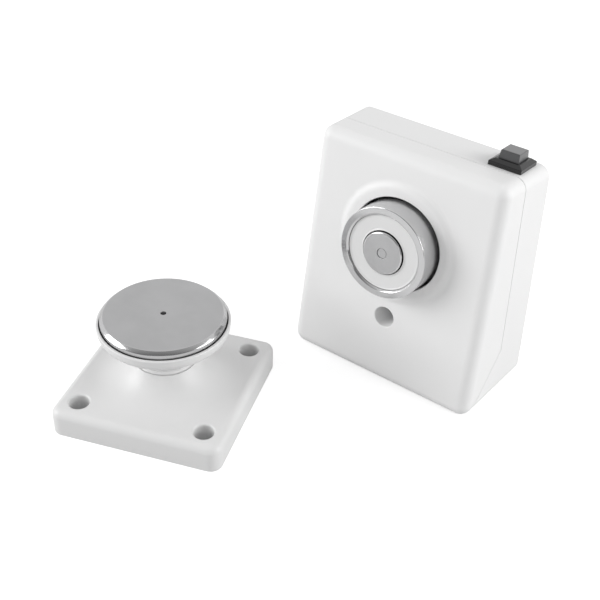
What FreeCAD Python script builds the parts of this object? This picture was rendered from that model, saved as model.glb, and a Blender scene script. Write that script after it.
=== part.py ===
import FreeCAD, Part
import math
import os

# Electromagnetic door holder: a wall unit with a pot magnet and a release button,
# and a floor keeper whose steel armature swivels on a ball.
# Millimetres. The wall is the plane y = 0, x runs to the right along it, z runs up,
# and the origin is the centre of the unit's wall face.

V = FreeCAD.Vector
FAR = 300.0

# Housing, outer form
lean = 6.0
face_reach = 38.6
axis_height = 69.3
front_up = 40.0
wall_half_width = 46.5
side_draft = 3.2
side_flare = 1.8
top_corner_round = 5.2
bottom_corner_round = 5.4
crease_round = 5.0
wall = 2.4

# Parting between the cover and the rear housing
parting_reach = 19.7
foot_reach = 42.1
foot_height = 24.0
parting_gap = 0.3
lip_gap = 0.15
lip_wall = 1.2
lip_reach = 2.2
lip_root = 2.6
lip_bite = 0.3

# Pot magnet, along its own axis from the front face
pot_radius = 20.0
pot_stand = 11.3
pot_length = 30.0
pot_floor = 5.0
pot_wall = 3.4
pot_bevel = 0.7
core_radius = 9.3
core_bevel = 0.6
pole_bore_radius = 2.3
resin_recess = 1.0
resin_depth = 2.0
bobbin_gap = 0.15
bobbin_wall = 1.0
bobbin_flange_gap = 0.7
winding_step = 0.7
lead_hole_offset = 13.0
lead_hole_radius = 1.9

# Cover openings
pot_hole_gap = 1.1
collar_radius = 28.4
collar_height = 1.2
collar_slope = 4.2
mouth_round = 0.4
screw_drop = 36.1
screw_well_radius = 4.7
screw_well_wall = 1.5
screw_well_floor = 2.0
screw_seat_reach = 23.0

# Bracket behind the pot
bracket_sheet = 2.5
bracket_half_width = 24.0
bracket_half_height = 17.0
bracket_foot_height = 14.0
bracket_foot_end = 34.0
bracket_hole_x = 29.2
bracket_hole_z = 8.0
bracket_post_height = 3.0
bracket_post_radius = 4.0
bracket_bend = 0.8

# Screws: shank radius, head radius, head height
pole_screw = (2.25, 4.3, 3.4)
cover_screw_size = (1.9, 3.8, 2.4)
bracket_screw_size = (1.45, 3.0, 2.0)
board_screw_size = (1.2, 2.4, 1.6)
retainer_screw_size = (1.2, 2.3, 0.8)
armature_screw_size = (2.45, 4.0, 3.6)
slot_width = 1.0
fit_gap = 0.05
washer_thick = 1.2

# Wall fixing holes and cable entry
wall_hole_radius = 2.3
wall_hole_x = 38.0
wall_hole_low = 14.0
wall_hole_high = 76.0
wall_boss_radius = 4.0
wall_boss_height = 1.2
entry_x = 24.0
entry_z = 22.0
entry_radius = 6.2
grommet_bore_radius = 3.5
grommet_flange = 1.8
grommet_flange_thick = 1.4

# Release switch, in the top of the rear housing
switch_x = 32.9
switch_reach = 10.3
flange_side = 14.6
flange_edge = 1.8
flange_height = 3.0
flange_top_side = 10.9
switch_body_side = 12.0
switch_body_depth = 17.0
switch_floor = 1.2
switch_hole_gap = 0.1
cap_side = 8.8
cap_gap = 0.15
cap_stand = 1.6
cap_taper = 0.35
cap_shoulder_side = 9.8
cap_shoulder_thick = 1.2
cap_travel = 2.0
stem_side = 3.6
stem_length = 7.2
bridge_length = 9.0
bridge_width = 2.6
bridge_thick = 0.5
contact_gap = 0.05
contact_lip = 1.6
tab_length = 3.0
tab_thick = 0.5
tab_width = 2.4
spring_wire_radius = 0.2
spring_radius = 1.5
spring_pitch = 1.2
clip_side = 13.4
clip_thick = 0.6

# Circuit board and terminals
board_left = -32.0
board_right = -9.0
board_low = 8.0
board_high = 41.0
board_thick = 1.6
board_post_height = 3.6
board_post_radius = 3.0
board_post_inset = 3.2
terminal_count = 4
terminal_pitch = 5.08
terminal_depth = 11.0
terminal_height = 9.0
terminal_low = 16.0
cage_side = 3.6
cage_length = 6.0
wire_entry_radius = 1.3
wire_entry_place = 3.9
cage_seat = 1.2
terminal_chamfer = 1.6
terminal_screw_radius = 1.25
diode_radius = 1.35
diode_length = 5.2
diode_wire_radius = 0.4
diode_span = 10.0
diode_height = 29.0

# Leads
lead_radius = 0.6
lead_bend = 3.0
lead_spacing = 1.6
coil_lead_turn = 44.0
coil_pad_height = 33.0
coil_pads = (-13.0, -17.0)
switch_pad_heights = (32.0, 34.6)
switch_lead_drops = (17.7, 20.3)
switch_pads = (-25.0, -21.0)

# Keeper: its place on the floor beside the wall unit
keeper_x = -65.1
keeper_y = -111.8
keeper_yaw = 19.7

# Keeper base
base_side = 75.0
base_corner = 5.0
base_height = 12.0
base_round = 3.4
base_wall = 2.6
hole_pitch = 55.7
hole_sink_radius = 4.3
hole_radius = 2.5
hole_sink_floor = 3.5
hole_boss_wall = 2.4
hole_rim_round = 0.9
swell_radius = 33.0
neck_radius = 13.4
neck_height = 24.3
neck_round = 0.7
neck_seam_drop = 0.9
neck_seam_wide = 0.5
neck_seam_deep = 0.6

# Swivel
ball_height = 18.2
ball_radius = 9.0
liner_gap = 0.15
liner_wall = 1.2
liner_top_angle = 72.0
liner_bottom_angle = 140.0
socket_wall = 2.6
stem_radius = 6.5
retainer_radius = 18.0
retainer_thick = 2.0
retainer_lift = 1.0
retainer_top = 12.4
retainer_gap = 0.1
retainer_screw_circle = 15.6
retainer_screw_grip = 3.6
retainer_bore = 5.0
swivel_limit = 8.0

# Armature: its height is the sum of the stack below it
armature_radius = 26.4
armature_thick = 6.0
armature_face_radius = 25.0
armature_step = 0.35
armature_bevel = 1.0
armature_eye_radius = 1.2
armature_eye_depth = 2.2
cup_radius = 28.0
cup_inner_radius = 26.95
cup_rim_drop = 3.2
cup_wall = 2.2
cup_foot_radius = 22.0
cup_bowl_rise = 3.6
cup_slope_rise = 4.4
cup_seat_height = 3.8
cup_hub_radius = 11.0
cup_hub_gap = 2.17
cup_hub_height = 3.2
cup_ledge = 22.6
cup_post_radius = 6.4
ring_drop = 3.6
ring_height = 1.3

# Worked out from the sizes above
lean_sin = math.sin(math.radians(lean))
lean_cos = math.cos(math.radians(lean))
front_angle = FreeCAD.Rotation(V(1, 0, 0), -lean)
LEAN = FreeCAD.Placement(V(0, -face_reach, axis_height), front_angle)
switch_y = (face_reach - front_up * lean_sin - switch_reach) / lean_cos
pot_back = pot_length - pot_stand
pot_floor_top = pot_back - pot_floor
bracket_back = pot_back + bracket_sheet
half_span = wall_half_width + 20.0
pot_hole_radius = pot_radius + pot_hole_gap
pot_bore_radius = pot_radius - pot_wall
bobbin_flange_radius = pot_bore_radius - bobbin_flange_gap
winding_radius = bobbin_flange_radius - winding_step
screw_height = axis_height - screw_drop * lean_cos
socket_radius = ball_radius + 2 * liner_gap + liner_wall
hole_offset = hole_pitch / 2.0
board_front = -(wall + board_post_height + board_thick)
cap_rise = flange_height + cap_travel + cap_stand
cup_hub_base = neck_height + cup_hub_radius * math.sin(math.radians(swivel_limit)) + cup_hub_gap
cup_hub_top = cup_hub_base + cup_hub_height
cup_foot_height = cup_hub_top + cup_slope_rise
cup_floor = cup_foot_height + cup_seat_height
armature_height = cup_floor + armature_thick


def box(x0, x1, y0, y1, z0, z1):
    """Block between two corners."""
    return Part.makeBox(x1 - x0, y1 - y0, z1 - z0, V(x0, y0, z0))


def rod(radius, start, end):
    """Round bar between two points."""
    a = V(*start)
    b = V(*end)
    return Part.makeCylinder(radius, (b - a).Length, a, b - a)


def turned(profile, axis):
    """Solid turned about the y or z axis from (radius, along) corners."""
    if axis == "y":
        points = [V(r, t, 0) for r, t in profile]
        direction = V(0, 1, 0)
    else:
        points = [V(r, 0, t) for r, t in profile]
        direction = V(0, 0, 1)
    face = Part.Face(Part.makePolygon(points + [points[0]]))
    return solid(face.revolve(V(0, 0, 0), direction, 360))


def solid(shape):
    """The shape's solids with outward faces, as one shape."""
    solids = []
    for item in shape.Solids:
        if item.Volume < 0:
            item.reverse()
        solids.append(item)
    return solids[0] if len(solids) == 1 else Part.makeCompound(solids)


def joined(shapes):
    """Union with its seams removed."""
    return shapes[0].fuse(shapes[1:]).removeSplitter()


def side_prism(corners, x0, x1):
    """Prism along x from (y, z) corners."""
    points = [V(x0, y, z) for y, z in corners]
    return Part.Face(Part.makePolygon(points + [points[0]])).extrude(V(x1 - x0, 0, 0))


def leaned(shape):
    """Set a shape from the front face's frame into the wall's frame."""
    moved = shape.copy()
    moved.Placement = LEAN.multiply(moved.Placement)
    return moved


def lean_point(up, depth):
    """(y, z) of a point given up the front face and in from it."""
    y = -face_reach + up * lean_sin + depth * lean_cos
    z = axis_height + up * lean_cos - depth * lean_sin
    return y, z


def top_back(inset):
    """(y, z) where the top face meets the back, both moved in by inset."""
    up = front_up - inset
    depth = (face_reach - inset - up * lean_sin) / lean_cos
    return lean_point(up, depth)


wall_centre = top_back(0.0)[1] / 2.0
coil_lead_plane = lean_point(-lead_hole_offset, bracket_back)[0] + lead_bend


def side_limit(inset, sign):
    """All that lies inside one side face, which narrows to the front and flares to the foot."""
    half = wall_half_width - inset
    taper = FAR * math.tan(math.radians(side_draft))
    flare = FAR * math.tan(math.radians(side_flare))
    plan = [V(half, 0, 0), V(half - taper, -FAR, 0), V(-2 * FAR, -FAR, 0), V(-2 * FAR, 0, 0)]
    low = [V(sign * (p.x + flare), p.y, axis_height - FAR) for p in plan]
    return solid(Part.Face(Part.makePolygon(low + [low[0]])).extrude(V(-2 * sign * flare, 0, 2 * FAR)))


def housing_form(inset):
    """Outer form of the whole housing, moved in by inset on every side."""
    low_up = (inset - axis_height + inset * lean_sin) / lean_cos
    front_top = lean_point(front_up - inset, inset)
    profile = [lean_point(low_up, inset), front_top, top_back(inset), (-inset, inset)]
    body = side_prism(profile, -half_span, half_span)
    body = solid(body.common(side_limit(inset, 1)).common(side_limit(inset, -1)))
    low_edges = [e for e in depth_edges(body, inset) if e.CenterOfMass.z < axis_height / 2.0]
    body = body.makeFillet(bottom_corner_round - inset, low_edges)
    high_edges = [e for e in depth_edges(body, inset) if e.CenterOfMass.z > axis_height]
    body = body.makeFillet(top_corner_round - inset, high_edges)
    front_edges = [e for e in body.Edges if abs(front_depth(e.CenterOfMass) - inset) < 0.01]
    return body.makeFillet(crease_round - inset, front_edges)


def is_line(edge):
    """Whether an edge is straight."""
    return edge.Curve.TypeId == "Part::GeomLine"


def front_depth(point):
    """How far a point lies in from the front face."""
    return (point.y + face_reach) * lean_cos - (point.z - axis_height) * lean_sin


def depth_edges(body, inset):
    """Straight edges that run from the front face to the back."""
    edges = []
    for edge in body.Edges:
        centre = edge.CenterOfMass
        off_back = centre.y < -inset - 1.0
        off_front = front_depth(centre) > inset + 1.0
        if off_back and off_front and abs(centre.x) > 10.0 and is_line(edge):
            edges.append(edge)
    return edges


def rear_side(shift):
    """All that lies behind the parting surface moved back by shift."""
    slope = (foot_reach - parting_reach) / foot_height
    below = 20.0
    corners = [
        (-parting_reach + shift, FAR),
        (-parting_reach + shift, foot_height),
        (-foot_reach - slope * below + shift, -below),
        (FAR, -below),
        (FAR, FAR),
    ]
    return side_prism(corners, -FAR, FAR)


outer_form = housing_form(0.0)
inner_form = housing_form(wall)
lip_outer_form = housing_form(wall + lip_gap)
lip_inner_form = housing_form(wall + lip_gap + lip_wall)
lip_root_form = housing_form(wall - lip_bite)


def collar_swell():
    """Low raised ring round the pot, with an S-shaped edge."""
    rise = collar_height / 2.0
    run = collar_slope / 2.0
    edge_radius = (run * run + rise * rise) / (2.0 * rise)
    foot = V(collar_radius, 0, 0)
    middle = V(collar_radius - run, -rise, 0)
    crest = V(collar_radius - 2 * run, -collar_height, 0)
    half_angle = math.asin(run / edge_radius) / 2.0
    low_sweep = edge_radius * math.sin(half_angle)
    low_rise = edge_radius * (1 - math.cos(half_angle))
    low_mid = V(collar_radius - low_sweep, -low_rise, 0)
    high_mid = V(crest.x + low_sweep, -collar_height + low_rise, 0)
    inside = pot_hole_radius - 0.5
    sunk = wall / 2.0
    edges = [
        Part.Arc(foot, low_mid, middle).toShape(),
        Part.Arc(middle, high_mid, crest).toShape(),
        Part.LineSegment(crest, V(inside, -collar_height, 0)).toShape(),
        Part.LineSegment(V(inside, -collar_height, 0), V(inside, sunk, 0)).toShape(),
        Part.LineSegment(V(inside, sunk, 0), V(collar_radius, sunk, 0)).toShape(),
        Part.LineSegment(V(collar_radius, sunk, 0), foot).toShape(),
    ]
    return solid(Part.Face(Part.Wire(edges)).revolve(V(0, 0, 0), V(0, 1, 0), 360))


def screw_well(radius, end):
    """Round bar from in front of the cover to a given reach from the wall."""
    return rod(radius, (0, -FAR, screw_height), (0, -end, screw_height))


def front_cover():
    """Moulded cover: wedge-shaped shell with the pot's hole and the screw well."""
    shell = outer_form.cut(inner_form).cut(rear_side(-parting_gap / 2.0))
    well = screw_well(screw_well_radius + screw_well_wall, screw_seat_reach - screw_well_floor)
    well = well.common(outer_form)
    shell = joined([solid(shell), solid(well), leaned(collar_swell())])
    hole = rod(pot_hole_radius, (0, -FAR, 0), (0, FAR, 0))
    shell = shell.cut(leaned(hole))
    shell = shell.cut(screw_well(screw_well_radius, screw_seat_reach))
    shell = shell.cut(screw_well(cover_screw_size[0] + 0.3, 0.0))
    crest = [e for e in shell.Edges if is_ring(e, pot_hole_radius, -collar_height)]
    mouth = [e for e in shell.Edges if is_well_mouth(e)]
    return solid(shell).makeFillet(mouth_round, crest + mouth)


def is_ring(edge, radius, depth):
    """Whether an edge is the circle of that radius about the pot's axis at that depth."""
    if edge.Curve.TypeId != "Part::GeomCircle":
        return False
    level = abs(front_depth(edge.Curve.Center) - depth) < 0.01
    return level and abs(edge.Curve.Radius - radius) < 0.01


def is_well_mouth(edge):
    """Whether an edge is the screw well's rim in the front face."""
    centre = edge.BoundBox.Center
    central = abs(centre.x) < 0.01 and abs(centre.z - screw_height) < 1.0
    wide = abs(edge.BoundBox.XLength - 2 * screw_well_radius) < 0.05
    return central and wide and abs(front_depth(centre)) < 0.5


def switch_notch():
    """Room in the lip for the switch, in the front face's frame."""
    half = clip_side / 2.0 + 0.8
    low = front_up - wall - 6.0
    return leaned(box(switch_x - half, switch_x + half, 0, FAR, low, front_up - wall))


def lip():
    """Tongue that stands forward of the rear housing inside the cover."""
    tongue_slab = rear_side(-lip_reach).cut(rear_side(lip_root))
    tongue = lip_outer_form.cut(lip_inner_form).common(tongue_slab)
    root_slab = rear_side(parting_gap / 2.0).cut(rear_side(lip_root))
    root = lip_root_form.cut(lip_inner_form).common(root_slab)
    return solid(tongue.fuse(root).cut(switch_notch()))


def rear_housing():
    """Moulded tray against the wall, with its lip, posts, bosses and holes."""
    shell = outer_form.cut(inner_form).common(rear_side(parting_gap / 2.0))
    pieces = [solid(shell), lip()]
    inside = -wall + 0.4
    post_end = -(screw_seat_reach - screw_well_floor)
    pieces.append(rod(screw_well_radius, (0, inside, screw_height), (0, post_end, screw_height)))
    posts = [
        (bracket_hole_places(), bracket_post_radius, bracket_post_height),
        (board_hole_places(), board_post_radius, board_post_height),
        (wall_hole_places(), wall_boss_radius, wall_boss_height),
    ]
    for places, radius, height in posts:
        for x, z in places:
            pieces.append(rod(radius, (x, inside, z), (x, -wall - height, z)))
    tray = joined(pieces)
    drill = 1.2
    tray = tray.cut(rod(cover_screw_size[0] - 0.25, (0, -drill, screw_height), (0, -FAR, screw_height)))
    for x, z in bracket_hole_places():
        tray = tray.cut(rod(bracket_screw_size[0] + fit_gap, (x, -drill, z), (x, -20, z)))
    for x, z in board_hole_places():
        tray = tray.cut(rod(board_screw_size[0] + fit_gap, (x, -drill, z), (x, -20, z)))
    for x, z in wall_hole_places():
        tray = tray.cut(rod(wall_hole_radius, (x, 5, z), (x, -20, z)))
    tray = tray.cut(rod(entry_radius, (entry_x, 5, entry_z), (entry_x, -10, entry_z)))
    opening = square(switch_body_side + 2 * switch_hole_gap, -8, 5)
    return solid(tray.cut(switch_at(opening)))


def bracket_hole_places():
    """(x, z) of the four bracket screws."""
    return [(s * bracket_hole_x, axis_height + t * bracket_hole_z) for s in (-1, 1) for t in (-1, 1)]


def board_hole_places():
    """(x, z) of the two board screws."""
    x = board_left + board_post_inset
    low_right = (board_right - board_post_inset, board_low + board_post_inset)
    return [(x, board_high - board_post_inset), low_right]


def wall_hole_places():
    """(x, z) of the four wall fixing holes."""
    return [(s * wall_hole_x, z) for s in (-1, 1) for z in (wall_hole_low, wall_hole_high)]


def screw(size, length, slotted=True):
    """Pan-head screw along +y: head from y = -height to 0, shank from 0."""
    shank, head, height = size
    round_edge = min(0.4 * height, 0.8)
    top = Part.makeCylinder(head, height, V(0, -height, 0), V(0, 1, 0))
    rim = [e for e in top.Edges if abs(e.CenterOfMass.y + height) < 0.01]
    top = top.makeFillet(round_edge, rim)
    body = joined([top, rod(shank, (0, -0.2, 0), (0, length, 0))])
    if slotted:
        depth = 0.45 * height
        half = slot_width / 2.0
        body = body.cut(box(-head, head, -height - 1, -height + depth, -half, half))
    return solid(body)


def placed(shape, x, y, z):
    """Copy of a shape moved to a place."""
    moved = shape.copy()
    moved.translate(V(x, y, z))
    return moved


def group(shapes):
    """Several separate solids as one shape."""
    return Part.makeCompound([solid(s) for s in shapes])


def magnet_pot():
    """Turned steel cup that stands out of the cover."""
    face = -pot_stand
    bevel = pot_bevel
    cup = turned([
        (pole_bore_radius, pot_back),
        (pole_bore_radius, pot_floor_top),
        (pot_bore_radius, pot_floor_top),
        (pot_bore_radius, face + bevel),
        (pot_bore_radius + bevel, face),
        (pot_radius - bevel, face),
        (pot_radius, face + bevel),
        (pot_radius, pot_back - bevel),
        (pot_radius - bevel, pot_back),
    ], "y")
    hole = rod(lead_hole_radius, (0, 0, -lead_hole_offset), (0, FAR, -lead_hole_offset))
    return leaned(cup.cut(hole))


def magnet_core():
    """Steel centre pole, bored for the screw that holds it."""
    face = -pot_stand
    return leaned(turned([
        (pole_bore_radius, face),
        (core_radius - core_bevel, face),
        (core_radius, face + core_bevel),
        (core_radius, pot_floor_top),
        (pole_bore_radius, pot_floor_top),
    ], "y"))


def bobbin_ends():
    """Where the bobbin starts and ends along the pot's axis."""
    return -pot_stand + resin_recess + resin_depth, pot_floor_top - fit_gap


def coil_bobbin():
    """Moulded reel that slides over the centre pole."""
    start, end = bobbin_ends()
    inner = core_radius + bobbin_gap
    tube = inner + bobbin_wall
    reel = turned([
        (inner, start),
        (bobbin_flange_radius, start),
        (bobbin_flange_radius, start + bobbin_wall),
        (tube, start + bobbin_wall),
        (tube, end - bobbin_wall),
        (bobbin_flange_radius, end - bobbin_wall),
        (bobbin_flange_radius, end),
        (inner, end),
    ], "y")
    low = -lead_hole_offset
    hole = rod(lead_hole_radius, (0, end - 2 * bobbin_wall, low), (0, end + 5, low))
    return leaned(reel.cut(hole))


def coil_winding():
    """Copper winding between the reel's flanges."""
    start, end = bobbin_ends()
    inner = core_radius + bobbin_gap + bobbin_wall + fit_gap
    low = start + bobbin_wall + fit_gap
    high = end - bobbin_wall - fit_gap
    return leaned(turned([(inner, low), (winding_radius, low), (winding_radius, high), (inner, high)], "y"))


def potting_resin():
    """Ring of resin that seals the coil, a little below the pole faces."""
    low = -pot_stand + resin_recess
    high = low + resin_depth - fit_gap
    inner = core_radius + fit_gap
    outer = pot_bore_radius - fit_gap
    return leaned(turned([(inner, low), (outer, low), (outer, high), (inner, high)], "y"))


def magnet_bracket():
    """Folded steel saddle: a leaning plate, two legs and two feet on the tray's posts."""
    foot_front = -(wall + bracket_post_height + bracket_sheet)
    foot_back = foot_front + bracket_sheet
    half = bracket_half_width
    leg_inside = half - bracket_sheet
    high = bracket_half_height
    plate = leaned(box(-half, half, pot_back, bracket_back, -high, high))
    side = [
        lean_point(high, pot_back),
        lean_point(-high, pot_back),
        (foot_back, axis_height - bracket_foot_height),
        (foot_back, axis_height + bracket_foot_height),
    ]
    pieces = [plate]
    for sign in (-1, 1):
        x0, x1 = sorted((sign * leg_inside, sign * half))
        pieces.append(side_prism(side, x0, x1))
        x0, x1 = sorted((sign * leg_inside, sign * bracket_foot_end))
        low = axis_height - bracket_foot_height
        pieces.append(box(x0, x1, foot_front, foot_back, low, axis_height + bracket_foot_height))
    saddle = joined(pieces)
    outer = [e for e in saddle.Edges if is_bend(e, half, leg_inside, pot_back, foot_back)]
    saddle = saddle.makeFillet(0.96 * bracket_sheet, outer)
    inner = [e for e in saddle.Edges if is_bend(e, leg_inside, half, bracket_back, foot_front)]
    saddle = saddle.makeFillet(bracket_bend, inner)
    saddle = saddle.cut(leaned(rod(pole_screw[0] + fit_gap, (0, 0, 0), (0, FAR, 0))))
    lead_hole = rod(lead_hole_radius, (0, 0, -lead_hole_offset), (0, FAR, -lead_hole_offset))
    saddle = saddle.cut(leaned(lead_hole))
    for x, z in bracket_hole_places():
        saddle = saddle.cut(rod(bracket_screw_size[0] + 0.2, (x, -20, z), (x, 0, z)))
    return solid(saddle)


def is_bend(edge, plate_x, foot_x, depth, reach):
    """Whether an edge lies along one of the bracket's folds: at its plate or at its feet."""
    centre = edge.CenterOfMass
    if not is_line(edge) or edge.Length < bracket_half_width / 2.0:
        return False
    at_plate = abs(abs(centre.x) - plate_x) < 0.01 and abs(front_depth(centre) - depth) < 0.01
    at_foot = abs(abs(centre.x) - foot_x) < 0.01 and abs(centre.y - reach) < 0.01
    return at_plate or at_foot


def pole_screw_piece():
    """Screw through bracket, pot and core, with its end level with the pole face."""
    length = bracket_back + washer_thick + pot_stand
    piece = screw(pole_screw, length - 0.1)
    piece.rotate(V(0, 0, 0), V(0, 0, 1), 180)
    tip = [e for e in piece.Edges if abs(e.CenterOfMass.y + length - 0.1) < 0.01]
    piece = piece.makeChamfer(0.3, tip)
    return leaned(placed(piece, 0, bracket_back + washer_thick, 0))


def spring_washer():
    """Split spring washer under the pole screw's head."""
    inner = pole_screw[0] + 0.15
    outer = pole_screw[1]
    ring = turned([
        (inner, bracket_back),
        (outer, bracket_back),
        (outer, bracket_back + washer_thick),
        (inner, bracket_back + washer_thick),
    ], "y")
    slit = box(-0.4, 0.4, bracket_back - 1, bracket_back + 5, 0, 2 * outer)
    return leaned(ring.cut(slit))


def cover_screw():
    """Screw at the bottom of the cover's well, into the tray's post."""
    post_end = screw_seat_reach - screw_well_floor
    shank = (cover_screw_size[0] - 0.3, cover_screw_size[1], cover_screw_size[2])
    length = screw_well_floor + post_end - 6.0
    return placed(screw(shank, length), 0, -screw_seat_reach, screw_height)


def bracket_screws():
    """Four screws that hold the bracket's feet."""
    seat = wall + bracket_post_height + bracket_sheet
    piece = screw(bracket_screw_size, seat - 1.6)
    return group([placed(piece, x, -seat, z) for x, z in bracket_hole_places()])


def switch_at(shape):
    """Set a switch piece from its own frame, with z = 0 on the housing's top face."""
    return leaned(placed(shape, switch_x, switch_y, front_up))


def square(side, low, high):
    """Square bar about the z axis."""
    half = side / 2.0
    return box(-half, half, -half, half, low, high)


def square_taper(low_side, high_side, low, high):
    """Square bar about the z axis that narrows as it rises."""
    wires = []
    for side, z in ((low_side, low), (high_side, high)):
        half = side / 2.0
        points = [V(-half, -half, z), V(half, -half, z), V(half, half, z), V(-half, half, z)]
        wires.append(Part.makePolygon(points + [points[0]]))
    return Part.makeLoft(wires, True, True)


def bridge_top():
    """Height of the moving contact's upper face at rest."""
    return -0.6 - cap_shoulder_thick - stem_length


def switch_frame():
    """Switch body with its bevelled flange, hollow for the cap, spring and contacts."""
    flange = square(flange_side, 0, flange_edge)
    crown = square_taper(flange_side, flange_top_side, flange_edge, flange_height)
    body = square(switch_body_side, -switch_body_depth, 0.2)
    frame = joined([flange, crown, body])
    frame = frame.cut(square(cap_side + 2 * cap_gap, -1, flange_height + 1))
    hollow = square(cap_shoulder_side + 0.4, -switch_body_depth + switch_floor, -0.6 + fit_gap)
    frame = frame.cut(hollow)
    for sign in (-1, 1):
        x0, x1 = tab_span(sign)
        half = tab_width / 2.0 + fit_gap
        slot_top = -switch_body_depth + switch_floor + fit_gap
        slot = box(x0 - fit_gap, x1 + fit_gap, -half, half, -FAR, slot_top)
        frame = frame.cut(slot)
    return switch_at(solid(frame))


def tab_span(sign):
    """x range of a contact's upright, against the switch's inner wall."""
    outer = cap_shoulder_side / 2.0 + 0.2 - fit_gap
    return tuple(sorted((sign * outer, sign * (outer - tab_thick))))


def switch_contacts():
    """Two fixed contacts that leave the switch as solder tabs."""
    lip_low = bridge_top() + contact_gap
    lip_high = lip_low + tab_thick
    parts = []
    for sign in (-1, 1):
        x0, x1 = tab_span(sign)
        half = tab_width / 2.0
        upright = box(x0, x1, -half, half, -switch_body_depth - tab_length, lip_high)
        reach = sorted((x0 if sign > 0 else x1, (x0 if sign > 0 else x1) - sign * contact_lip))
        parts.append(joined([upright, box(reach[0] - 0.1, reach[1] + 0.1, -half, half, lip_low, lip_high)]))
    return group([switch_at(p) for p in parts])


def switch_cap():
    """Square push cap with its shoulder and stem."""
    low = -0.6
    block = square_taper(cap_side, cap_side - 2 * cap_taper, flange_height, cap_rise)
    neck = square(cap_side, low - 0.1, flange_height)
    shoulder = square(cap_shoulder_side, low - cap_shoulder_thick, low)
    stem = square(stem_side, bridge_top(), low)
    cap = joined([block, neck, shoulder, stem])
    top_edges = [e for e in cap.Edges if abs(e.CenterOfMass.z - cap_rise) < 0.01]
    return switch_at(solid(cap.makeFillet(0.4, top_edges)))


def contact_bridge():
    """Moving contact under the stem, closed against the fixed contacts at rest."""
    half_x = bridge_length / 2.0
    half_y = bridge_width / 2.0
    high = bridge_top()
    return switch_at(box(-half_x, half_x, -half_y, half_y, high - bridge_thick, high))


def switch_spring():
    """Coil spring that returns the cap."""
    low = -switch_body_depth + switch_floor + spring_wire_radius + fit_gap
    high = bridge_top() - bridge_thick - spring_wire_radius - fit_gap
    helix = Part.makeHelix(spring_pitch, high - low, spring_radius)
    ring = Part.makeCircle(spring_wire_radius, V(spring_radius, 0, 0), V(0, 1, 0))
    coil = Part.Wire(helix.Edges).makePipeShell([Part.Wire([ring])], True, True)
    return switch_at(placed(solid(coil), 0, 0, low))


def switch_clip():
    """Sheet frame that holds the switch from inside."""
    plate = square(clip_side, -wall - clip_thick, -wall)
    hole = square(switch_body_side + 2 * fit_gap, -wall - 1, -wall + 1)
    return switch_at(plate.cut(hole))


def circuit_board():
    """Small board that carries the terminals and the diode."""
    back = board_front + board_thick
    board = box(board_left, board_right, board_front, back, board_low, board_high)
    for x, z in board_hole_places():
        board = board.cut(rod(board_screw_size[0] + 0.2, (x, -20, z), (x, 0, z)))
    return board


def board_screws():
    """Two screws that hold the board."""
    piece = screw(board_screw_size, board_thick + board_post_height - 0.4)
    return group([placed(piece, x, board_front, z) for x, z in board_hole_places()])


def terminal_places():
    """x of each terminal."""
    middle = (board_left + board_right) / 2.0
    first = middle - (terminal_count - 1) * terminal_pitch / 2.0
    return [first + i * terminal_pitch for i in range(terminal_count)]


def terminal_block():
    """Moulded block with a wire entry, a cage pocket and a screw hole at each way."""
    half = terminal_count * terminal_pitch / 2.0
    middle = (board_left + board_right) / 2.0
    front = board_front - terminal_depth
    high = terminal_low + terminal_height
    block = box(middle - half, middle + half, front, board_front, terminal_low, high)
    low_front = V(middle, front, terminal_low)
    chamfered = [e for e in block.Edges if (e.CenterOfMass - low_front).Length < 0.01]
    block = block.makeChamfer(terminal_chamfer, chamfered)
    mid_z = terminal_low + terminal_height / 2.0
    side = cage_side / 2.0 + fit_gap
    wire_y = cage_front() + wire_entry_place
    for x in terminal_places():
        pocket = box(x - side, x + side, -fit_gap, cage_length + fit_gap, -side, side)
        block = block.cut(placed(pocket, 0, cage_front(), mid_z))
        block = block.cut(rod(wire_entry_radius, (x, wire_y, terminal_low - 1), (x, wire_y, mid_z)))
        block = block.cut(rod(terminal_screw_radius + 0.35, (x, front - 1, mid_z), (x, wire_y, mid_z)))
    return solid(block)


def cage_front():
    """Reach of the cages' front faces."""
    return board_front - cage_seat - cage_length


def terminal_cages():
    """Brass clamping cages inside the block."""
    mid_z = terminal_low + terminal_height / 2.0
    side = cage_side / 2.0
    cages = []
    y0 = cage_front()
    wire_y = y0 + wire_entry_place
    for x in terminal_places():
        cage = box(x - side, x + side, y0, y0 + cage_length, mid_z - side, mid_z + side)
        cage = cage.cut(rod(wire_entry_radius, (x, wire_y, mid_z - 9), (x, wire_y, mid_z + 9)))
        cages.append(cage.cut(rod(terminal_screw_radius, (x, y0 - 1, mid_z), (x, wire_y, mid_z))))
    return group(cages)


def terminal_screws():
    """Slotted clamping screws in the cages."""
    mid_z = terminal_low + terminal_height / 2.0
    screws = []
    for x in terminal_places():
        start = board_front - terminal_depth + 0.8
        end = cage_front() + wire_entry_place - wire_entry_radius
        bar = rod(terminal_screw_radius - fit_gap, (x, start, mid_z), (x, end, mid_z))
        screws.append(bar.cut(box(x - 2, x + 2, start - 1, start + 0.7, mid_z - 0.25, mid_z + 0.25)))
    return group(screws)


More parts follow.
